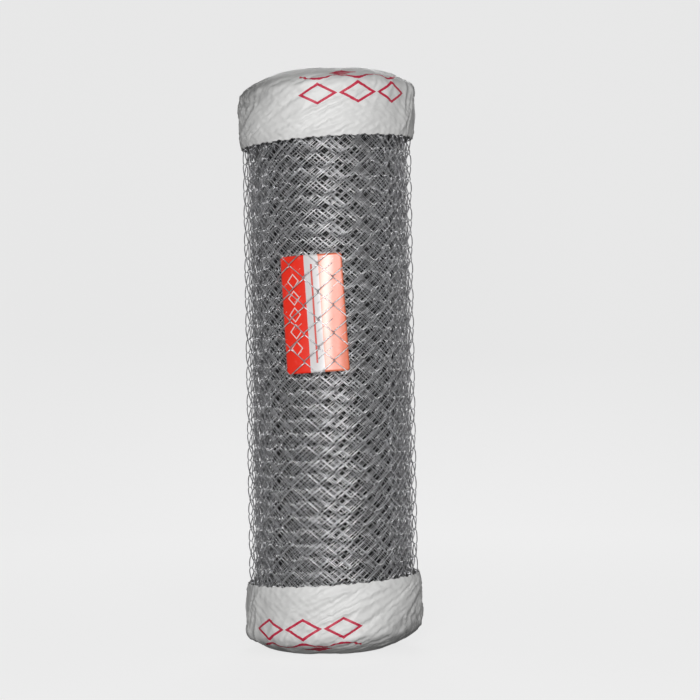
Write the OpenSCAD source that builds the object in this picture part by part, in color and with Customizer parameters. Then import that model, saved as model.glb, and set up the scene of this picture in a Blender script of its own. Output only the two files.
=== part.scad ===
// A tied roll of galvanised chain link fencing, stood on end, with a sack pulled over each end
// and a card slipped under the outer turn of wire. The front faces -Y.

/* [Fence] */
// Height of one whole turn of a wire coil
coil_pitch = 70.8; // [60:0.2:84]
// Distance from one coil to the next, round the roll
coil_step = 38.5; // [32:0.1:46]
// Thickness of the galvanised wire
wire_d = 2.5; // [2:0.1:3]
// Thickness of the woven fabric, over both layers of its wires
fabric_t = 12.5; // [11:0.1:14]
// Clearance between the hooked wires of neighbouring coils
hook_gap = 0.15; // [0.1:0.05:0.5]

/* [Roll] */
// Outside width of the roll of wire
roll_d = 450; // [400:1:520]
// Height of the whole roll, with the sacks
roll_h = 1512; // [1200:1:1900]
// Clearance between one turn of the fabric and the next
turn_gap = 0.7; // [0.6:0.1:2]
// Hollow left in the middle of the roll
hollow_d = 150; // [100:1:250]
// Direction of the free end of the fabric, from the front
free_end = 205; // [0:1:359]

/* [Sacks] */
// Thickness of the sack cloth in its layers
sack_t = 2; // [1.5:0.1:3]
// Height of a sack's side, from the rim to its mouth
sack_side = 136; // [90:1:200]
// Height of the rounded end beyond the rim
dome_h = 51; // [35:1:70]
// Width of the flat patch at the end
flat_d = 260; // [200:1:300]
// Slant of the sacks, up to the right
slant = 3; // [0:0.5:6]
// Thickness of the folds pressed into the sacks
fold_t = 1.2; // [0.8:0.1:2]
// Width of a fold
fold_w = 16; // [8:1:30]

/* [Card] */
// Width of the card round the roll
card_w = 166; // [100:1:220]
// Height of the card
card_h = 300; // [150:1:400]
// Thickness of the card
card_t = 0.5; // [0.3:0.1:0.6]
// Height of the card's middle above the roll's middle
card_up = 120; // [-200:1:250]
// Direction of the card's middle, from the front
card_turn = -12; // [-60:1:60]
// Slant of the card, its top to the left
card_slant = 3; // [-6:0.5:6]

/* [Hidden] */
groups = 12;
// a row of the mesh is half a turn of a coil
row = coil_pitch / 2;
// each coil is wider than its step, so that it hooks round its neighbours
lap = wire_d + hook_gap;
coil_w = coil_step + lap * sqrt(1 + pow((coil_step + 2 * lap) / row, 2)) + fabric_t * coil_step / roll_d;
// the spiral that the middle of the fabric follows
turn = fabric_t + turn_gap;
outer_r = sqrt(pow(roll_d / 2 + 0.2 * turn, 2) - pow(coil_w / 2, 2)) - fabric_t / 2;
shrink = turn / (2 * PI);
turn_len = 2 * PI * (outer_r - turn / 2);
coils = round(turn_len / coil_step) + 1;
// half of a wire's outline where two legs of a coil cross, across and up
slope = atan2(row, coil_w);
half_x = wire_d / 2 / sin(slope);
half_z = wire_d / 2 / cos(slope);
// the sacks
sack_r = roll_d / 2 + sack_t;
dome_up = (pow(sack_r, 2) - pow(flat_d / 2, 2) + pow(dome_h, 2)) / (2 * dome_h);
dome_r = sqrt(pow(flat_d / 2, 2) + pow(dome_up, 2));
lean = tan(slant) * (dome_up - dome_h);
mouth = dome_h + sack_side;
mouth_rise = sack_r * tan(slant);
// the wires run under the sacks' mouths at both ends
wire_low = mouth - mouth_rise - 20;
rows = ceil((roll_h - 2 * wire_low) / row);
wire_base = roll_h / 2 - rows * row / 2;
far = roll_h + roll_d;
// the turns inside the outer one follow quarter circles, each a step smaller than the last
open_turns = 4;
step = turn / 4;
inner_begin = (coils - 0.3) * coil_step;
inner_r = sqrt(pow(outer_r, 2) - 2 * shrink * inner_begin) + turn - fabric_t / 2 - card_t - 0.3;
// tilt of a plane that crosses a quarter circle as steeply as a leg of a coil
leg_tilt = atan(PI / 4 / sin(45) * row / coil_step);

letters = "abcdefghijkl";
WIRES = [for (i = [0:groups - 1]) str("wires_", letters[i])];
TURNS = [for (i = [0:open_turns - 1]) str("turn_", letters[i + 1])];
ENDS = ["top_sack", "bottom_sack", "top_folds", "bottom_folds"];

// angle from the free end, in radians, after a length of fabric
function along(s) = (outer_r - sqrt(pow(outer_r, 2) - 2 * shrink * s)) / shrink;
function radius_at(a) = outer_r - shrink * a;

// the spiral's own centre, beside the middle of the sacks
module on_spiral() {
  translate([-turn / 4 * sin(free_end), turn / 4 * cos(free_end), 0])
    children();
}

function bend_x(i) = i % 2 == 0 ? -coil_w / 2 : coil_w / 2;

// a zigzag plate as deep as the fabric, with one slanting band for each leg of the coil
module zigzag(first) {
  last = first + rows;
  left = [for (i = [first:last]) [bend_x(i) - half_x, i * row]];
  right = [for (i = [last:-1:first]) [bend_x(i) + half_x, i * row]];
  rotate([90, 0, 0])
    linear_extrude(fabric_t, center = true)
      polygon(concat(left, right));
}

// what is cut away behind a leg, from one bend to the next
module behind_leg() {
  out_x = cos(slope);
  out_z = sin(slope);
  rotate([90, 0, 0])
    linear_extrude(fabric_t)
      polygon([
        [-coil_w / 2 - out_x, -row / 2 + half_z + out_z],
        [-coil_w / 2 + half_x, -row / 2],
        [-coil_w / 2 + half_x + 1, -row / 2],
        [coil_w / 2 + out_x, row / 2 - half_z - out_z],
        [coil_w / 2 - half_x, row / 2],
        [coil_w / 2 - half_x - 1, row / 2]
      ]);
}

// one flattened coil of wire: the near legs rise to the right and the far legs to the left, and
// a short bend joins each to the next through the depth of the fabric
module coil(first) {
  difference() {
    zigzag(first);
    for (i = [first:first + rows - 1])
      translate([0, 0, (i + 0.5) * row])
        rotate([0, 0, i % 2 == 0 ? 0 : 180])
          translate([0, fabric_t / 2 + wire_d, 0])
            behind_leg();
  }
}

// neighbouring coils, each half a pitch from the last, so that their bends hook round each other
module wires(g) {
  color([0.66, 0.68, 0.70])
    on_spiral()
      for (k = [floor(g * coils / groups):floor((g + 1) * coils / groups) - 1])
        rotate([0, 0, free_end + along(k * coil_step) * 180 / PI])
          translate([0, -radius_at(along(k * coil_step)), wire_base - (k % 2) * row])
            coil(k % 2);
}

// outside of the fabric after q quarters of the inner turns, and the length of fabric up to there
function quarter_r(q) = inner_r - (q + 0.5) * step;
function quarter_s(q) = PI / 2 * ((q + 0.5) * (inner_r - fabric_t / 2) - step * (q * q + q + 0.5) / 2);
// half the height of a turn that stands under the domed ends
function half_tall(r) =
  roll_h / 2 + min(sqrt(pow(dome_r - sack_t, 2) - pow(r + lean + step, 2)) - dome_up - 0.3, -sack_t);

module on_quarter(q) {
  on_spiral()
    rotate([0, 0, free_end + along(inner_begin) * 180 / PI - 90 + q * 90])
      translate([step / 2, -step / 2, 0])
        children();
}

// a curved plate, between two angles and two heights
module arc(r, thick, from, to, low, high) {
  rotate([0, 0, from])
    translate([0, 0, low])
      rotate_extrude(angle = to - from, $fn = 120)
        translate([r - thick, 0])
          square([thick, high - low]);
}

// bars over a quarter of the roll, two meshes apart, that rise or fall round it as the wires do
module leaning_legs(q, r, rising) {
  apart = 2 * coil_pitch;
  middle = wire_base + rising * (row / 2 + row / coil_step * (inner_begin + quarter_s(q)));
  reach = ceil((roll_h + PI * r) / apart / 2);
  intersection() {
    arc(r, wire_d, 0.2, 89.8, wire_low, roll_h - wire_low);
    rotate([0, 0, 45])
      for (i = [-reach:reach])
        translate([0, 0, roll_h / 2 + (middle - roll_h / 2) % apart + i * apart])
          rotate([rising * leg_tilt, 0, 0])
            cube([far, far, wire_d], center = true);
  }
}

// a quarter of an open turn: its near bars rise and its far bars fall, a post at each side joins
// them, and a plain band runs on under each sack
module open_quarter(q) {
  r = quarter_r(q) - 0.05;
  post = wire_d / r * 180 / PI;
  tall = half_tall(r);
  union() {
    leaning_legs(q, r, 1);
    leaning_legs(q, r - fabric_t + wire_d, -1);
    arc(r + 0.05, fabric_t + 0.1, 0.1, 0.1 + post, wire_low - 1, roll_h - wire_low + 1);
    arc(r + 0.05, fabric_t + 0.1, 89.9 - post, 89.9, wire_low - 1, roll_h - wire_low + 1);
    arc(r + 0.04, wire_d + 0.08, 0.1 + post / 2, 89.9 - post / 2, roll_h / 2 - tall, wire_low + 0.5);
    arc(r + 0.04, wire_d + 0.08, 0.1 + post / 2, 89.9 - post / 2, roll_h - wire_low - 0.5, roll_h / 2 + tall);
  }
}

// one whole turn of fabric inside the outer one
module open_turn(n) {
  color([0.58, 0.60, 0.62])
    for (q = [4 * n:4 * n + 3])
      on_quarter(q)
        open_quarter(q);
}

// the turns inside those, as one plain strip that runs inward
module inner_turns() {
  strip = 2;
  color([0.52, 0.54, 0.56])
    union() {
      for (q = [4 * open_turns:floor((inner_r - hollow_d / 2) / step)])
        on_quarter(q)
          arc(
            quarter_r(q), strip, 0, 90,
            roll_h / 2 - half_tall(quarter_r(q)), roll_h / 2 + half_tall(quarter_r(q))
          );
    }
}

// the card between the outer turn of wire and the turn under it, a little askew
module card() {
  a = ((card_turn - free_end + 720) % 360) * PI / 180;
  r = radius_at(a) - fabric_t / 2 - card_t - 0.1;
  half = card_w / 2 / r * 180 / PI;
  color([0.90, 0.16, 0.08])
    on_spiral()
      rotate([0, 0, card_turn - 90])
        translate([0, 0, roll_h / 2 + card_up])
          intersection() {
            translate([0, -shrink, -card_h])
              rotate([0, 0, -half - 15])
                rotate_extrude(angle = 2 * half + 30, $fn = 120)
                  translate([r, 0])
                    square([card_t, 2 * card_h]);
            rotate([card_slant, 0, 0])
              translate([0, -r * sin(half), -card_h / 2])
                cube([roll_d, 2 * r * sin(half), card_h]);
          }
}

// the solid inside the surface of the top sack, grown by g
module sack_body(g) {
  intersection() {
    translate([0, 0, roll_h - mouth - 60])
      cylinder(r = sack_r + g, h = mouth + 60 + g, $fn = 120);
    translate([lean, 0, roll_h - dome_up])
      sphere(r = dome_r + g, $fn = 120);
  }
}

// everything above the slanted mouth of the top sack
module above_mouth() {
  translate([0, 0, roll_h - mouth])
    rotate([0, -slant, 0])
      translate([-far / 2, -far / 2, 0])
        cube(far);
}

module sack() {
  color([0.93, 0.93, 0.92])
    intersection() {
      difference() {
        sack_body(0);
        sack_body(-sack_t);
      }
      above_mouth();
    }
}

// a long narrow wedge, widest at the rim, that one fold of the cloth keeps within; across the
// sack it runs off to one side by skew
module fold_shape(skew) {
  rotate([90, 0, 90])
    linear_extrude(far)
      polygon([
        [-fold_w / 2, roll_h - dome_h],
        [skew - 1, roll_h - mouth + mouth_rise + 6],
        [skew + 1, roll_h - mouth + mouth_rise + 6],
        [fold_w / 2, roll_h - dome_h],
        [fold_w / 4, roll_h + 1],
        [-fold_w / 4, roll_h + 1]
      ]);
}

// folds of the cloth, pressed flat from the end over the rim and down the side
module folds(angles) {
  color([0.86, 0.86, 0.85])
    for (i = [0:len(angles) - 1])
      intersection() {
        difference() {
          sack_body(fold_t);
          sack_body(0);
        }
        rotate([0, 0, angles[i]])
          translate([flat_d / 2 - 15, 0, 0])
            fold_shape(i % 2 == 0 ? 1.5 * fold_w : -fold_w);
        translate([-far / 2, -far / 2, roll_h - far])
          cube(far);
      }
}

module top_sack() sack();
module top_folds() folds([12, 63, 118, 171, 226, 268, 318]);

// the other end is the same sack, turned over
module turned_over() {
  translate([0, 0, roll_h])
    rotate([0, 180, 0])
      children();
}

module bottom_sack() turned_over() sack();
module bottom_folds() turned_over() folds([35, 90, 140, 205, 243, 290, 340]);

for (g = [0:groups - 1])
  wires(g);
for (n = [0:open_turns - 1])
  open_turn(n);
inner_turns();
card();
top_sack();
bottom_sack();
top_folds();
bottom_folds();
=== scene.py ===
import math

import bpy
import numpy as np
from mathutils import Matrix, Vector, noise


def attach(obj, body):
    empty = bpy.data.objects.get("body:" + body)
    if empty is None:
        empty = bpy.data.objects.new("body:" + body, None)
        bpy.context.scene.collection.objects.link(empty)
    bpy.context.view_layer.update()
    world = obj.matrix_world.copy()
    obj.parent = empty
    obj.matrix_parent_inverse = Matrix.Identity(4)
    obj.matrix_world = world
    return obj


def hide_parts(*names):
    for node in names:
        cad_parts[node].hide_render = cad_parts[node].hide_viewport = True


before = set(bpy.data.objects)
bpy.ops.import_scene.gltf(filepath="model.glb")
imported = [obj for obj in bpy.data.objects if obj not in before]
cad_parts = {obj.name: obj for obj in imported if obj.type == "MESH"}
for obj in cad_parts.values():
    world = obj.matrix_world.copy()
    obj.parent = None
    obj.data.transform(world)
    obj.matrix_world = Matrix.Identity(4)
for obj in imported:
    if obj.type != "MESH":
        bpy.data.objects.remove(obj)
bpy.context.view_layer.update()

# Camera. The photograph looks straight at the roll from about 5.6 m, level with its middle, and
# the roll stands a little left of the picture's middle with its top leaning 0.9 degrees left.
roll_height = 1.512
roll_middle = roll_height / 2
lean = math.radians(0.93)
aim_right, aim_up = 0.0515, 0.0277
camera_data = bpy.data.cameras.new("camera")
camera_data.lens = 109.4
camera_data.sensor_width = 36
camera = bpy.data.objects.new("camera", camera_data)
bpy.context.collection.objects.link(camera)
eye = Vector((0, -5.61, roll_middle))
level = Vector((math.cos(lean), 0, -math.sin(lean)))
upright = Vector((math.sin(lean), 0, math.cos(lean)))
ahead = (Vector((0, 0, roll_middle)) + level * aim_right + upright * aim_up - eye).normalized()
level = ahead.cross(upright).normalized()
facing = Matrix((level, level.cross(ahead), -ahead)).transposed()
camera.matrix_world = Matrix.Translation(eye) @ facing.to_4x4()
bpy.context.scene.camera = camera


# Studio. A plain pale sweep of floor and wall, one soft lamp above the camera, a tall strip to
# its right whose glare shows on the card, and weak light from the sides, behind and all round.
def fit(tree, kind, inputs=None, **settings):
    node = tree.nodes.new(kind)
    for name, value in settings.items():
        setattr(node, name, value)
    for name, value in (inputs or {}).items():
        if isinstance(value, bpy.types.NodeSocket):
            tree.links.new(value, node.inputs[name])
        else:
            node.inputs[name].default_value = value
    return node


def reckon(tree, operation, *values):
    return fit(tree, "ShaderNodeMath", dict(enumerate(values)), operation=operation).outputs[0]


def new_finish(name):
    finish = bpy.data.materials.new(name)
    finish.use_nodes = True
    return finish, finish.node_tree, finish.node_tree.nodes["Principled BSDF"]


def form_piece(name, points, faces, finish):
    mesh = bpy.data.meshes.new(name)
    mesh.from_pydata(points, [], faces)
    mesh.polygons.foreach_set("use_smooth", [True] * len(faces))
    mesh.materials.append(finish)
    piece = bpy.data.objects.new(name, mesh)
    bpy.context.collection.objects.link(piece)
    return piece


def backdrop_glow(tree, socket, plain, shown, mirrored):
    seen = fit(tree, "ShaderNodeLightPath").outputs
    glow = plain
    for ray, strength in (
        ("Is Camera Ray", shown),
        ("Is Glossy Ray", mirrored),
        ("Is Transmission Ray", shown),
    ):
        glow = reckon(tree, "MULTIPLY_ADD", seen[ray], strength, glow)
    tree.links.new(glow, socket)


paper, tree, shader = new_finish("studio_paper")
shader.inputs["Base Color"].default_value = (0.18, 0.18, 0.18, 1)
shader.inputs["Roughness"].default_value = 1
shader.inputs["Specular IOR Level"].default_value = 0
shader.inputs["Emission Color"].default_value = (1, 1, 1, 1)
backdrop_glow(tree, shader.inputs["Emission Strength"], 0.0, 0.76, 0.1)

sweep_half, wall_top, bend_from, bend_radius = 9, 9, 4, 2.5
sweep_side = [(-sweep_half, 0)]
for a in np.linspace(0, math.pi / 2, 25):
    sweep_side.append((bend_from + bend_radius * math.sin(a), bend_radius - bend_radius * math.cos(a)))
sweep_side.append((bend_from + bend_radius, wall_top))
sweep = form_piece(
    "sweep",
    [(x, y, z) for y, z in sweep_side for x in (-sweep_half, sweep_half)],
    [(2 * i, 2 * i + 1, 2 * i + 3, 2 * i + 2) for i in range(len(sweep_side) - 1)],
    paper,
)

lit_at = Vector((0, 0, 0.8))
for name, place, size, power in (
    ("front", (-0.35, -5.4, 1.25), (1.0, 1.2), 165),
    ("strip", (1.15, -5.2, 1.15), (0.42, 1.5), 45),
    ("left", (-4.6, 2.2, 1.6), (1.5, 2.0), 11),
    ("right", (4.6, 2.2, 1.6), (1.5, 2.0), 11),
    ("behind", (0.3, 4.6, 3.2), (2.4, 2.0), 70),
):
    lamp = bpy.data.lights.new(name, "AREA")
    lamp.shape = "RECTANGLE"
    lamp.size, lamp.size_y = size
    lamp.energy = power
    lamp_object = bpy.data.objects.new(name, lamp)
    lamp_object.location = place
    lamp_object.rotation_euler = (lit_at - Vector(place)).to_track_quat("-Z", "Y").to_euler()
    bpy.context.collection.objects.link(lamp_object)

world = bpy.data.worlds.new("world")
world.use_nodes = True
surroundings = world.node_tree.nodes["Background"].inputs
surroundings["Color"].default_value = (1, 1, 1, 1)
backdrop_glow(world.node_tree, surroundings["Strength"], 0.12, 0.69, 0.1)
bpy.context.scene.world = world
bpy.context.scene.view_settings.view_transform = "Standard"

# Wires. Chain link fabric is made of long flattened coils of round wire, each hooked through the
# coil beside it, with its near legs rising to the right and its far legs to the left. The roll
# winds it into a spiral, so one tree bends a coil and sets it out turn after turn.
free_end = math.radians(205)
fabric_slant = math.tan(math.radians(3))
winding = bpy.data.node_groups.new("wire winding", "GeometryNodeTree")
winding.is_modifier = True
winding_inputs = {}
for name, kind, value in (
    ("First coil", "Int", 0),
    ("Coils", "Int", 36),
    ("Coil step", "Float", 0.0385),
    ("Start radius", "Float", 0.2194),
    ("Turn depth", "Float", 0.0085),
    ("Free end", "Float", free_end),
    ("Rows", "Int", 36),
    ("Row height", "Float", 0.0354),
    ("Coil width", "Float", 0.0425),
    ("Coil depth", "Float", 0.0112),
    ("Wire radius", "Float", 0.0014),
    ("Points a leg", "Int", 8),
    ("Wire sides", "Int", 6),
    ("Base", "Float", 0.1188),
    ("Slant", "Float", fabric_slant),
    ("Looseness", "Float", 0.0006),
    ("Sway", "Float", 0.0),
    ("Seed", "Int", 3),
    ("Zinc", "Material", None),
):
    item = winding.interface.new_socket(name, in_out="INPUT", socket_type="NodeSocket" + kind)
    if value is not None:
        item.default_value = value
    winding_inputs[name] = item.identifier
winding.interface.new_socket("Wires", in_out="OUTPUT", socket_type="NodeSocketGeometry")
given = fit(winding, "NodeGroupInput").outputs

# one coil's middle line: a flattened loop that climbs a row with each leg. The powers square the
# loop's outline, and the hair over keeps a whole count of legs from being rounded down
squared_across, squared_deep, hair_over = 0.7, 0.8, 0.0001
index = fit(winding, "GeometryNodeInputIndex").outputs[0]
legs = reckon(winding, "DIVIDE", index, given["Points a leg"])
leg = reckon(winding, "FLOOR", reckon(winding, "ADD", legs, hair_over))
loop_turn = reckon(winding, "MULTIPLY", legs, math.pi)
across, deep = (
    reckon(
        winding,
        "MULTIPLY",
        reckon(winding, "SIGN", wave),
        reckon(winding, "POWER", reckon(winding, "ABSOLUTE", wave), power),
    )
    for wave, power in (
        (reckon(winding, "COSINE", loop_turn), squared_across),
        (reckon(winding, "SINE", loop_turn), squared_deep),
    )
)
hand = reckon(winding, "SUBTRACT", 0.5, reckon(winding, "FLOORED_MODULO", leg, 2))
leg_middle = reckon(winding, "ADD", leg, 0.5)
climb = reckon(winding, "SUBTRACT", leg_middle, reckon(winding, "MULTIPLY", across, hand))
row_points = reckon(winding, "MULTIPLY", given["Rows"], given["Points a leg"])
line = fit(winding, "GeometryNodeMeshLine", {"Count": reckon(winding, "ADD", row_points, 1)})
spot = fit(
    winding,
    "ShaderNodeCombineXYZ",
    {
        "X": reckon(winding, "MULTIPLY", across, reckon(winding, "MULTIPLY", given["Coil width"], -0.5)),
        "Y": reckon(winding, "MULTIPLY", deep, reckon(winding, "MULTIPLY", given["Coil depth"], -0.5)),
        "Z": reckon(winding, "MULTIPLY", climb, given["Row height"]),
    },
)
path = fit(winding, "GeometryNodeSetPosition", {"Geometry": line.outputs[0], "Position": spot.outputs[0]})
middle_line = fit(winding, "GeometryNodeMeshToCurve", {"Mesh": path.outputs[0]})
ring = fit(
    winding,
    "GeometryNodeCurvePrimitiveCircle",
    {"Resolution": given["Wire sides"], "Radius": given["Wire radius"]},
)
tube = fit(
    winding,
    "GeometryNodeCurveToMesh",
    {"Curve": middle_line.outputs[0], "Profile Curve": ring.outputs[0]},
)
smooth_tube = fit(winding, "GeometryNodeSetShadeSmooth", {"Geometry": tube.outputs[0]})

# the coils' places on the spiral, every other one half a coil lower, each strayed by chance and
# tilted a little, with a slow sway up and down in the pressed turns
sway_a_coil, tilt_share = 0.47, 2.5
number = reckon(winding, "ADD", index, given["First coil"])
shrink = reckon(winding, "DIVIDE", given["Turn depth"], 2 * math.pi)
wound = reckon(winding, "MULTIPLY", reckon(winding, "MULTIPLY", number, given["Coil step"]), shrink)
start_squared = reckon(winding, "POWER", given["Start radius"], 2)
radius = reckon(
    winding, "SQRT", reckon(winding, "SUBTRACT", start_squared, reckon(winding, "MULTIPLY", wound, 2))
)
turned = reckon(winding, "DIVIDE", reckon(winding, "SUBTRACT", given["Start radius"], radius), shrink)
bearing = reckon(winding, "ADD", turned, given["Free end"])
stray = fit(
    winding,
    "FunctionNodeRandomValue",
    {0: (-1, -1, -1), 1: (1, 1, 1), "Seed": given["Seed"]},
    data_type="FLOAT_VECTOR",
)
strays = fit(winding, "ShaderNodeSeparateXYZ", {"Vector": stray.outputs[0]}).outputs
loose = reckon(winding, "ADD", radius, reckon(winding, "MULTIPLY", strays[0], given["Looseness"]))
coil_x = reckon(winding, "MULTIPLY", reckon(winding, "SINE", bearing), loose)
coil_y = reckon(winding, "MULTIPLY", reckon(winding, "COSINE", bearing), loose)
coil_y = reckon(winding, "MULTIPLY", coil_y, -1)
lower = reckon(winding, "MULTIPLY", reckon(winding, "FLOORED_MODULO", number, 2), given["Row height"])
sway_wave = reckon(winding, "SINE", reckon(winding, "MULTIPLY", number, sway_a_coil))
sway = reckon(winding, "MULTIPLY", sway_wave, given["Sway"])
rise = reckon(winding, "MULTIPLY_ADD", coil_x, given["Slant"], reckon(winding, "SUBTRACT", sway, lower))
coil_tilt = reckon(winding, "MULTIPLY", strays[1], given["Looseness"])
coil_tilt = reckon(winding, "MULTIPLY", coil_tilt, tilt_share)
coil_spot = fit(
    winding,
    "ShaderNodeCombineXYZ",
    {"X": coil_x, "Y": coil_y, "Z": reckon(winding, "ADD", given["Base"], rise)},
)
coil_turn = fit(winding, "ShaderNodeCombineXYZ", {"Y": coil_tilt, "Z": bearing})
places = fit(winding, "GeometryNodeMeshLine", {"Count": given["Coils"]})
set_out = fit(
    winding, "GeometryNodeSetPosition", {"Geometry": places.outputs[0], "Position": coil_spot.outputs[0]}
)
coils = fit(
    winding,
    "GeometryNodeInstanceOnPoints",
    {"Points": set_out.outputs[0], "Instance": smooth_tube.outputs[0], "Rotation": coil_turn.outputs[0]},
)
shades = fit(
    winding,
    "GeometryNodeStoreNamedAttribute",
    {"Geometry": coils.outputs[0], "Name": "coil_shade", "Value": strays[2]},
    domain="INSTANCE",
)
real = fit(winding, "GeometryNodeRealizeInstances", {"Geometry": shades.outputs[0]})
zinced = fit(winding, "GeometryNodeSetMaterial", {"Geometry": real.outputs[0], "Material": given["Zinc"]})
fit(winding, "NodeGroupOutput", {0: zinced.outputs[0]})

# the zinc coat: dull grey, mottled pale and dark along each wire, one coil a shade off the next,
# and darkened with painted shade the deeper a turn lies in the roll
# painted shade: inward of these radii from the roll's axis the wires' grey is darkened, standing in for the
# shade deep in the roll
deepest_shade_radius, unshaded_radius = 0.158, 0.184
zinc_coat = bpy.data.node_groups.new("zinc coat", "ShaderNodeTree")
for name in ("Dark", "Pale", "Deep shade"):
    zinc_coat.interface.new_socket(name, in_out="INPUT", socket_type="NodeSocketFloat")
for name, kind in (("Grey", "Color"), ("Roughness", "Float"), ("Pits", "Float")):
    zinc_coat.interface.new_socket(name, in_out="OUTPUT", socket_type="NodeSocket" + kind)
shade = fit(zinc_coat, "NodeGroupInput").outputs
place = fit(zinc_coat, "ShaderNodeTexCoord").outputs["Object"]
mottle = fit(zinc_coat, "ShaderNodeTexNoise", {"Vector": place, "Scale": 90.0, "Detail": 3.0}).outputs[0]
pits = fit(zinc_coat, "ShaderNodeTexNoise", {"Vector": place, "Scale": 900.0, "Detail": 2.0}).outputs[0]
mottled, rough = (
    fit(
        zinc_coat,
        "ShaderNodeMapRange",
        {"Value": mottle, "From Min": 0.32, "From Max": 0.68, "To Min": low, "To Max": high},
    ).outputs[0]
    for low, high in ((shade["Dark"], shade["Pale"]), (0.33, 0.48))
)
coil_shade = fit(zinc_coat, "ShaderNodeAttribute", attribute_name="coil_shade").outputs["Fac"]
tone = reckon(zinc_coat, "MULTIPLY", mottled, reckon(zinc_coat, "MULTIPLY_ADD", coil_shade, 0.12, 1.0))
level_place = fit(zinc_coat, "ShaderNodeVectorMath", {0: place, 1: (1, 1, 0)}, operation="MULTIPLY")
from_axis = fit(zinc_coat, "ShaderNodeVectorMath", {0: level_place.outputs[0]}, operation="LENGTH")
# painted shade by depth in the roll, multiplied into the wires' grey
depth_shade = fit(
    zinc_coat,
    "ShaderNodeMapRange",
    {
        "Value": from_axis.outputs["Value"],
        "From Min": deepest_shade_radius,
        "From Max": unshaded_radius,
        "To Min": shade["Deep shade"],
        "To Max": 1.0,
    },
)
tone = reckon(zinc_coat, "MULTIPLY", tone, depth_shade.outputs[0])
blue = reckon(zinc_coat, "MULTIPLY", tone, 1.02)
grey = fit(zinc_coat, "ShaderNodeCombineColor", {"Red": tone, "Green": tone, "Blue": blue})
fit(zinc_coat, "NodeGroupOutput", {"Grey": grey.outputs[0], "Roughness": rough, "Pits": pits})


def zinc_skin(name, dark, pale, deep_shade):
    zinc, tree, shader = new_finish(name)
    shader.inputs["Metallic"].default_value = 0.95
    coat = fit(
        tree, "ShaderNodeGroup", {"Dark": dark, "Pale": pale, "Deep shade": deep_shade}, node_tree=zinc_coat
    ).outputs
    tree.links.new(coat["Grey"], shader.inputs["Base Color"])
    tree.links.new(coat["Roughness"], shader.inputs["Roughness"])
    dents = fit(tree, "ShaderNodeBump", {"Height": coat["Pits"], "Strength": 0.25, "Distance": 0.0004})
    tree.links.new(dents.outputs[0], shader.inputs["Normal"])
    return zinc


# the outer turn's wires get no painted shade; the pressed turns' wires are darkened with painted shade deep
# in the roll
bright_zinc = zinc_skin("galvanised_wire", 0.5, 0.92, 1.0)
shaded_zinc = zinc_skin("galvanised_wire_in_shade", 0.5, 0.95, 0.12)

# the outer turn is loose, and the 400 coils inside it are pressed flat against each other
spiral_shift = 0.0033
spiral_middle = (-spiral_shift * math.sin(free_end), spiral_shift * math.cos(free_end), 0)
pressed = {
    "Coils": 80,
    "Start radius": 0.2063,
    "Turn depth": 0.0033,
    "Coil depth": 0.0046,
    "Wire radius": 0.0012,
    "Points a leg": 4,
    "Wire sides": 4,
    "Looseness": 0.0014,
    "Sway": 0.006,
}
for name, zinc, changes, stands_for in (
    ("outer_wires", bright_zinc, {}, [f"wires_{c}" for c in "abcdefghijkl"]),
    ("pressed_wires_a", shaded_zinc, {**pressed, "Seed": 5}, ["turn_b"]),
    ("pressed_wires_b", shaded_zinc, {**pressed, "First coil": 80, "Seed": 8}, ["turn_c"]),
    ("pressed_wires_c", shaded_zinc, {**pressed, "First coil": 160, "Seed": 15}, ["turn_d"]),
    ("pressed_wires_d", shaded_zinc, {**pressed, "First coil": 240, "Seed": 23}, ["turn_e"]),
    ("pressed_wires_e", shaded_zinc, {**pressed, "First coil": 320, "Seed": 42}, []),
):
    wires = bpy.data.objects.new(name, bpy.data.meshes.new(name))
    bpy.context.collection.objects.link(wires)
    wound_up = wires.modifiers.new("winding", "NODES")
    wound_up.node_group = winding
    for key, value in {**changes, "Zinc": zinc}.items():
        wound_up[winding_inputs[key]] = value
    wound_wires = wires.evaluated_get(bpy.context.evaluated_depsgraph_get())
    wires.data = bpy.data.meshes.new_from_object(wound_wires)
    wires.modifiers.remove(wound_up)
    wires.data.transform(Matrix.Translation(spiral_middle))
    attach(wires, "root")
    if stands_for:
        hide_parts(*stands_for)

# Packed turns. The turns nearest the middle lie hard against each other; their surface is painted near black
# with a close hatch of wires, painted shade for the dark deep in the roll that is seen between the wires
# outside them.
packed_radius = 0.158
packed_in_shade, tree, shader = new_finish("packed_wire_in_shade")
shader.inputs["Metallic"].default_value = 0.6
shader.inputs["Roughness"].default_value = 0.6
place = fit(tree, "ShaderNodeTexCoord").outputs["Object"]
place_x, place_y, place_z = fit(tree, "ShaderNodeSeparateXYZ", {"Vector": place}).outputs
round_roll = reckon(tree, "MULTIPLY", reckon(tree, "ARCTAN2", place_x, place_y), packed_radius)
lines = []
for way, spacing in ((1, 0.0071), (-1, 0.0083)):
    across_wires = reckon(tree, "MULTIPLY_ADD", place_z, way, round_roll)
    lines.append(reckon(tree, "SINE", reckon(tree, "MULTIPLY", across_wires, 2 * math.pi / spacing)))
hatch = reckon(tree, "MAXIMUM", *lines)
# painted shade: the hatch's grey runs from near black in the gaps to a dark grey on the wires
hatch_shade = fit(
    tree,
    "ShaderNodeMapRange",
    {"Value": hatch, "From Min": 0.55, "From Max": 1.0, "To Min": 0.01, "To Max": 0.22},
).outputs[0]
hatch_shade_grey = fit(tree, "ShaderNodeCombineColor", {0: hatch_shade, 1: hatch_shade, 2: hatch_shade})
tree.links.new(hatch_shade_grey.outputs[0], shader.inputs["Base Color"])
ridges = fit(tree, "ShaderNodeBump", {"Height": hatch, "Strength": 0.8, "Distance": 0.002})
tree.links.new(ridges.outputs[0], shader.inputs["Normal"])
inner_turns = bpy.data.objects["inner_turns"]
inner_turns.data.materials.clear()
inner_turns.data.materials.append(packed_in_shade)

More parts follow.
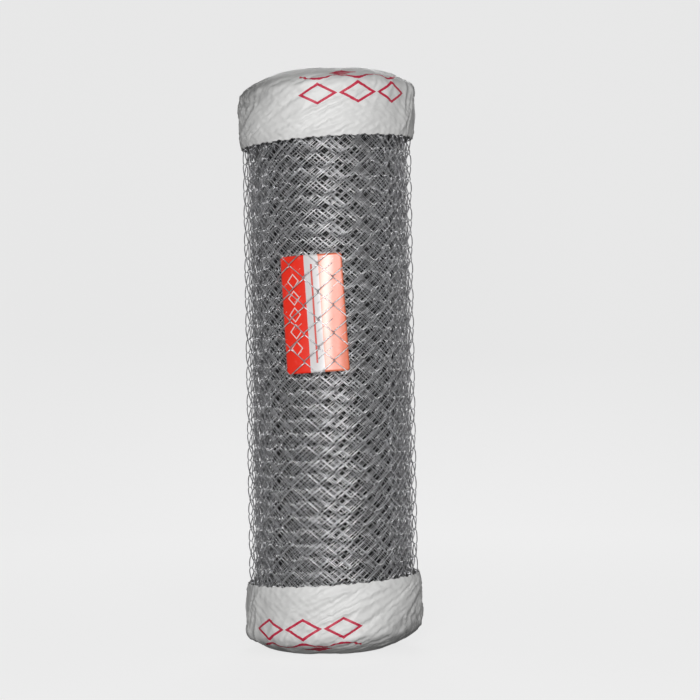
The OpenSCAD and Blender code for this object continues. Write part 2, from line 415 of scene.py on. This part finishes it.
# Card. A printed and glossy laminated card is slipped under the outer turn of wire. It bends
# round the roll, leans a little to the left and waves slightly between the wires.
card_radius, card_half_width, card_half_height = 0.2084, 0.0808, 0.15
card_slant, card_bearing = math.radians(3), math.radians(-12)
card_middle, card_offset = roll_middle + 0.12, 0.0021
corner, corner_share = 0.004, 0.03
card_columns, card_rows = 41, 61
card_points, card_uvs, card_faces = [], [], []
for i in range(card_rows):
    for j in range(card_columns):
        u, v = j / (card_columns - 1), i / (card_rows - 1)
        rounding = corner * max(0, abs(2 * v - 1) - (1 - corner_share)) / corner_share
        across_card = (2 * u - 1) * (card_half_width - rounding)
        up_card = (2 * v - 1) * card_half_height
        y = across_card * math.cos(card_slant) - up_card * math.sin(card_slant)
        z = across_card * math.sin(card_slant) + up_card * math.cos(card_slant)
        x = math.sqrt(card_radius**2 - (y + card_offset) ** 2)
        x += 0.0003 * math.sin(9 * u + 5 * v) + 0.0004 * noise.noise(Vector((3 * u, 5 * v, 4.0)))
        c, s = math.cos(card_bearing - math.pi / 2), math.sin(card_bearing - math.pi / 2)
        turned_x, turned_y = x * c - y * s, x * s + y * c
        card_points.append((turned_x + spiral_middle[0], turned_y + spiral_middle[1], card_middle + z))
        card_uvs.append((u, v))
for i in range(card_rows - 1):
    for j in range(card_columns - 1):
        a = i * card_columns + j
        card_faces.append((a, a + 1, a + 1 + card_columns, a + card_columns))

# print in red, white and orange-red fields, with a chain of white lozenges and a red rule, faded
# in spots where the lamination has scuffed
card_print, tree, shader = new_finish("laminated_card")
shader.inputs["Roughness"].default_value = 0.4
shader.inputs["Coat Weight"].default_value = 0.7
shader.inputs["Coat Roughness"].default_value = 0.24
print_map = fit(tree, "ShaderNodeUVMap", uv_map="print").outputs[0]
print_u, print_v, _ = fit(tree, "ShaderNodeSeparateXYZ", {"Vector": print_map}).outputs


def inked(tree, under, mask, colour):
    return fit(tree, "ShaderNodeMix", {0: mask, 6: under, 7: colour}, data_type="RGBA").outputs[2]


def between(tree, value, low, high):
    above = reckon(tree, "GREATER_THAN", value, low)
    return reckon(tree, "MULTIPLY", above, reckon(tree, "LESS_THAN", value, high))


def lozenge_shape(tree, off_u, off_v, half_width, half_height):
    share_u = reckon(tree, "DIVIDE", reckon(tree, "ABSOLUTE", off_u), half_width)
    share_v = reckon(tree, "DIVIDE", reckon(tree, "ABSOLUTE", off_v), half_height)
    return reckon(tree, "ADD", share_u, share_v)


def inked_line(tree, value, at, half_width):
    off = reckon(tree, "ABSOLUTE", reckon(tree, "SUBTRACT", value, at))
    return reckon(tree, "LESS_THAN", off, half_width)


band_left, band_right, chain_middle, links_high = 0.4, 0.63, 0.2, 7
chain_u = reckon(tree, "SUBTRACT", print_u, chain_middle)
chain_step = reckon(tree, "FLOORED_MODULO", reckon(tree, "MULTIPLY", print_v, links_high), 1)
chain_v = reckon(tree, "SUBTRACT", chain_step, 0.5)
link = lozenge_shape(tree, chain_u, chain_v, 0.1, 0.46)
chain = reckon(tree, "MULTIPLY", inked_line(tree, link, 0.9, 0.1), between(tree, print_v, 0.145, 0.855))
rule = reckon(tree, "MULTIPLY", between(tree, print_u, 0.5, 0.53), between(tree, print_v, 0.08, 0.92))
band = between(tree, print_u, band_left, band_right)
colour = inked(tree, (0.95, 0.025, 0.006, 1), band, (0.72, 0.7, 0.7, 1))
colour = inked(tree, colour, reckon(tree, "GREATER_THAN", print_u, band_right), (0.86, 0.2, 0.1, 1))
colour = inked(tree, colour, chain, (0.8, 0.72, 0.7, 1))
colour = inked(tree, colour, rule, (0.7, 0.06, 0.04, 1))
place = fit(tree, "ShaderNodeTexCoord").outputs["Object"]
scuff = fit(tree, "ShaderNodeTexNoise", {"Vector": place, "Scale": 60.0, "Detail": 4.0}).outputs[0]
faded = fit(tree, "ShaderNodeMapRange", {"Value": scuff, "From Min": 0.6, "From Max": 0.9, "To Max": 0.25})
tree.links.new(inked(tree, colour, faded.outputs[0], (0.85, 0.6, 0.55, 1)), shader.inputs["Base Color"])
waves = fit(tree, "ShaderNodeBump", {"Height": scuff, "Strength": 0.2, "Distance": 0.002})
tree.links.new(waves.outputs[0], shader.inputs["Normal"])

tucked_card = form_piece("tucked_card", card_points, card_faces, card_print)
layer = tucked_card.data.uv_layers.new(name="print")
for loop in tucked_card.data.loops:
    layer.data[loop.index].uv = card_uvs[loop.vertex_index]
card_thickness = tucked_card.modifiers.new("thickness", "SOLIDIFY")
card_thickness.thickness = 0.0004
card_thickness.offset = -1
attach(tucked_card, "root")
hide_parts("card")

# Sacks. Each end of the roll is pushed into a white sack woven from plastic tape, pulled tight
# over the rim, so that the spare cloth lies in flat slanting creases round the side and in two
# crumpled ears. The second sack is the same, turned over.
sack_radius, sack_steps, knuckle_count = 0.2262, 450, 74
mouth_height, mouth_drawn, mouth_soft, side_middle = 1.325, 0.0016, 0.08, 0.07
dome_middle, dome_centre, dome_radius = 0.01646, 1.147, 0.38746
crown, crown_soft, crown_zero = 1.5116, 0.003, 1.5
around = np.linspace(0, 2 * math.pi, sack_steps, endpoint=False)
down_side = np.linspace(0, 1, 46)
to_middle = np.linspace(1, 0.012, 51)[1:]
ring_x, ring_y = np.sin(around), -np.cos(around)


def dome_height(x, y):
    swell = dome_centre + np.sqrt(dome_radius**2 - (x - dome_middle) ** 2 - y**2)
    under_swell = np.exp(-(swell - crown_zero) / crown_soft)
    under_crown = np.exp(-(crown - crown_zero) / crown_soft)
    return crown_zero - crown_soft * np.log(under_swell + under_crown)


# the smooth sack, in rings from its mouth up the side and over the end to the middle
rim = dome_height(sack_radius * ring_x, sack_radius * ring_y)
uneven = 0.0012 * np.sin(around * knuckle_count) + 0.0014 * np.sin(around * 31 + 1)
edge = mouth_height + sack_radius * ring_x * fabric_slant + uneven
rings = []
for t in down_side:
    drawn_in = sack_radius - mouth_drawn * math.exp(-t / mouth_soft)
    rings.append((drawn_in * ring_x, drawn_in * ring_y, edge + (rim - edge) * t))
for t in to_middle:
    x, y = sack_radius * t * ring_x, sack_radius * t * ring_y
    rings.append((x, y, dome_height(x, y)))
shape = np.array(rings).transpose(0, 2, 1)
smoothed = shape.copy()
for _ in range(12):
    smoothed[1:-1] = (smoothed[:-2] + 2 * smoothed[1:-1] + smoothed[2:]) / 4
round_rim = slice(24, 80)
shape[round_rim] = smoothed[round_rim]
gone = np.zeros(shape.shape[:2])
gone[1:] = np.cumsum(np.linalg.norm(np.diff(shape, axis=0), axis=2), axis=0)
rim_at = gone[len(down_side) - 1]
outward = np.cross(np.roll(shape, -1, 1) - np.roll(shape, 1, 1), np.gradient(shape, axis=0))
outward /= np.linalg.norm(outward, axis=2, keepdims=True)


def off_bearing(bearing_deg):
    return (around - math.radians(bearing_deg) + math.pi) % (2 * math.pi) - math.pi


def near(bearing_deg, width_deg):
    return np.exp(-((off_bearing(bearing_deg) / math.radians(width_deg)) ** 2))


def hump(distance, width):
    return np.exp(-((distance / width) ** 2))


def soft_step(distance, width):
    return 1 / (1 + np.exp(-np.clip(distance / width, -30, 30)))


def creases(twist, fine, long, seed):
    height = np.zeros(gone.shape)
    for i in range(gone.shape[0]):
        for j in range(sack_steps):
            a = around[j] - twist * (gone[i, j] - side_middle)
            p = Vector((math.sin(a) * fine, math.cos(a) * fine, gone[i, j] * long + seed))
            warp = noise.noise(p * 0.7 + Vector((5.2, 1.3, seed))) * 0.8
            height[i, j] = 1 - 2.2 * abs(noise.noise(p + Vector((warp, warp, 0))))
    return np.clip(height, 0, 1) ** 1.4


def crumple(fine, seed):
    height = np.zeros(gone.shape)
    for i in range(gone.shape[0]):
        for j in range(sack_steps):
            distances = noise.voronoi(Vector(shape[i, j]) * fine + Vector((seed, 0, 0)))[0]
            height[i, j] = min(distances[1] - distances[0], 0.6) / 0.6
    return height


def pleat(bearing_deg, twist, reach=0.016, width_deg=34):
    past = (off_bearing(bearing_deg)[None, :] - twist * (gone - side_middle)) * sack_radius
    return soft_step(past, 0.0014) * np.exp(-np.clip(past, 0, 1) / reach) * near(bearing_deg, width_deg)


# creases lie slanting on the front left and back, and upright at the sides
slanting = near(-45, 60) + near(150, 50)
standing = near(80, 40) + near(-130, 40) + near(190, 20)
either = slanting + standing + 0.05
lift = np.zeros(gone.shape)
for height, twist, fine, long, seed, share in (
    (0.0056, 10.0, 3.2, 9.0, 1.7, slanting / either),
    (0.0036, 8.0, 6.5, 12.0, 7.1, slanting / either),
    (0.0050, 1.5, 5.0, 4.0, 4.4, standing / either),
    (0.0014, -5.0, 9.0, 16.0, 11.9, 1),
    (0.0007, 12.0, 12.0, 26.0, 21.3, 1),
):
    lift += height * creases(twist, fine, long, seed) * share

# sharp pleats, and a flap of spare cloth folded down over the rim at the front
for bearing_deg, twist, height in (
    (-58, 13, 0.0030),
    (-38, 12, 0.0024),
    (-12, 13, 0.0018),
    (22, 9, 0.0014),
    (70, 4, 0.0030),
    (84, -3, 0.0034),
    (120, 9, 0.0028),
    (160, 11, 0.0030),
    (215, 8, 0.0028),
    (262, 6, 0.0030),
):
    lift += height * pleat(bearing_deg, twist)
fold_line = rim_at - 0.004 + 0.012 * np.sin(2 * around + 0.4)
flap = soft_step(gone - fold_line, 0.0012) * np.exp(-np.clip(gone - fold_line, 0, 1) / 0.03)
lift += 0.0028 * flap * near(15, 48)

# over the end the creases fade out, and rucks take their place
lift *= hump(np.clip(gone - rim_at - 0.01, 0, 1), 0.05)
over_end = 1 - hump(np.clip(gone - rim_at + 0.02, 0, 1), 0.05)
for fine, height in ((7.0, 0.0034), (15.0, 0.0018)):
    rucks = np.array([
        [abs(noise.noise(Vector((x * fine, y * fine * 0.6, 7.7)))) for x, y, _ in row]
        for row in shape.tolist()
    ])
    lift += height * np.clip(1 - 2.4 * rucks, 0, 1) * over_end
bulges = np.array([
    [noise.noise(Vector((math.sin(a) * 3.4, math.cos(a) * 3.4, g * 22 + 3))) for a, g in zip(around, row)]
    for row in gone
])
lift += 0.0042 * bulges * (0.25 + near(88, 34) + near(-96, 30))

# the crumpled ears at the rim, and the limits that keep the cloth close to the roll
ears = np.zeros(gone.shape)
for bearing_deg, width_deg, reach, share in ((-62, 26, 0.05, 1), (90, 12, 0.025, 1), (180, 20, 0.035, 0.7)):
    ears += near(bearing_deg, width_deg) * hump(gone - rim_at, reach) * share
crushed = np.clip(ears, 0, 1)
big_crumple, small_crumple = crumple(30.0, 2.0), crumple(62.0, 9.0)
lift += (0.0085 * big_crumple + 0.0035 * small_crumple) * crushed
lift += 0.009 * near(87, 3.5) * hump(gone - rim_at - 0.002, 0.009)
lift *= np.clip(gone / 0.02, 0.15, 1)
side_lift, crown_lift = 0.0086, 0.0034
on_crown = np.clip((shape[:, :, 2] - 1.488) / 0.02, 0, 1)
lift = np.minimum(lift, side_lift - (side_lift - crown_lift) * on_crown)
# painted shade: the hollows between crumples in the ears are marked for darkening in the cloth's colour
crevice = crushed * (1 - np.minimum(big_crumple, small_crumple))
knuckles = 0.0009 * np.sin(around * knuckle_count) * np.exp(-gone / 0.02)
cloth_points = shape + outward * (lift + knuckles)[:, :, None]

cloth_rows = cloth_points.shape[0]
tip = cloth_rows * sack_steps
cloth_faces = []
for i in range(cloth_rows - 1):
    for j in range(sack_steps):
        a, b = i * sack_steps + j, i * sack_steps + (j + 1) % sack_steps
        cloth_faces.append((a, b, b + sack_steps, a + sack_steps))
for j in range(sack_steps):
    cloth_faces.append((tip - sack_steps + j, tip - sack_steps + (j + 1) % sack_steps, tip))

# the cloth: white tape weave with a slight gloss, glossier where it is crumpled and darkened there with
# painted shade in the hollows, printed on one side with red lozenges, a wavy line and a wedge
tape_pair = 0.0052
panel_middle, panel_half = 0.082, 0.156
lozenge_step, lozenge_half_width, lozenge_half_height = 0.104, 0.044, 0.024
lozenge_at, wave_at, wedge_at = 0.108, 0.152, 0.177
weave, tree, shader = new_finish("woven_sack")
cloth_map = fit(tree, "ShaderNodeUVMap", uv_map="cloth").outputs[0]
cloth_u, cloth_v, _ = fit(tree, "ShaderNodeSeparateXYZ", {"Vector": cloth_map}).outputs
warp_height, weft_height = (
    reckon(tree, "SINE", reckon(tree, "MULTIPLY", way, 2 * math.pi / tape_pair)) for way in (cloth_u, cloth_v)
)
tape_height = reckon(tree, "MULTIPLY", warp_height, weft_height)
panel_step = reckon(tree, "FLOORED_MODULO", reckon(tree, "ADD", cloth_u, 0.074), lozenge_step)
lozenge_u = reckon(tree, "SUBTRACT", panel_step, lozenge_step / 2)
lozenge_v = reckon(tree, "SUBTRACT", cloth_v, lozenge_at)
lozenge = lozenge_shape(tree, lozenge_u, lozenge_v, lozenge_half_width, lozenge_half_height)
outline = inked_line(tree, lozenge, 1, 0.15)
swing = reckon(tree, "MULTIPLY", reckon(tree, "SINE", reckon(tree, "MULTIPLY", cloth_u, 58.0)), 0.008)
wavy = inked_line(tree, reckon(tree, "SUBTRACT", cloth_v, wave_at), swing, 0.0036)
wedge_u = reckon(tree, "ABSOLUTE", reckon(tree, "SUBTRACT", cloth_u, 0.052))
wedge_v = reckon(tree, "ABSOLUTE", reckon(tree, "SUBTRACT", cloth_v, wedge_at))
wedge = reckon(tree, "LESS_THAN", reckon(tree, "MULTIPLY_ADD", wedge_u, 0.4, wedge_v), 0.018)
art = reckon(tree, "MAXIMUM", reckon(tree, "MAXIMUM", outline, wavy), wedge)
printed = reckon(tree, "MULTIPLY", art, inked_line(tree, cloth_u, panel_middle, panel_half))
colour = inked(tree, (0.8, 0.8, 0.79, 1), printed, (0.6, 0.025, 0.07, 1))
# painted shade: the cloth's colour is greyed in the crumples' hollows
painted_crevice_shade = fit(tree, "ShaderNodeAttribute", attribute_name="crevice").outputs["Fac"]
shaded_cloth_colour = inked(tree, colour, reckon(tree, "MULTIPLY", painted_crevice_shade, 0.8), (0.25, 0.25, 0.25, 1))
tree.links.new(shaded_cloth_colour, shader.inputs["Base Color"])
glaze = fit(tree, "ShaderNodeAttribute", attribute_name="crushed").outputs["Fac"]
gloss = fit(tree, "ShaderNodeMapRange", {"Value": glaze, "To Min": 0.5, "To Max": 0.24})
tree.links.new(gloss.outputs[0], shader.inputs["Roughness"])
weave_bump = fit(tree, "ShaderNodeBump", {"Height": tape_height, "Strength": 0.15, "Distance": 0.0006})
tree.links.new(weave_bump.outputs[0], shader.inputs["Normal"])

floor_clearance = 0.0002
for name, turned_over, stands_for in (
    ("top_cloth", False, ["top_sack", "top_folds"]),
    ("bottom_cloth", True, ["bottom_sack", "bottom_folds"]),
):
    points = np.vstack([cloth_points.reshape(-1, 3), cloth_points[-1].mean(axis=0)])
    if turned_over:
        heights = np.maximum(roll_height - points[:, 2], floor_clearance)
        points = np.stack([-points[:, 0], points[:, 1], heights], axis=1)
    cloth = form_piece(name, points.tolist(), cloth_faces, weave)
    layer = cloth.data.uv_layers.new(name="cloth")
    for face in cloth.data.polygons:
        first = face.vertices[0] % sack_steps
        for k, v in zip(face.loop_indices, face.vertices):
            column = first if v == tip else v % sack_steps
            if first == sack_steps - 1 and column == 0:
                column = sack_steps
            turn = column / sack_steps
            if first / sack_steps >= 0.5:
                turn -= 1
            row = min(v // sack_steps, cloth_rows - 1)
            column %= sack_steps
            layer.data[k].uv = (turn * 2 * math.pi * sack_radius, gone[row, column] + uneven[column])
    for kind, values in (("crevice", crevice), ("crushed", crushed)):
        shares = cloth.data.attributes.new(kind, "FLOAT", "POINT")
        shares.data.foreach_set("value", np.append(values.ravel(), 0.0))
    thick = cloth.modifiers.new("thickness", "SOLIDIFY")
    thick.thickness = 0.0007
    thick.offset = -1
    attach(cloth, "root")
    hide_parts(*stands_for)
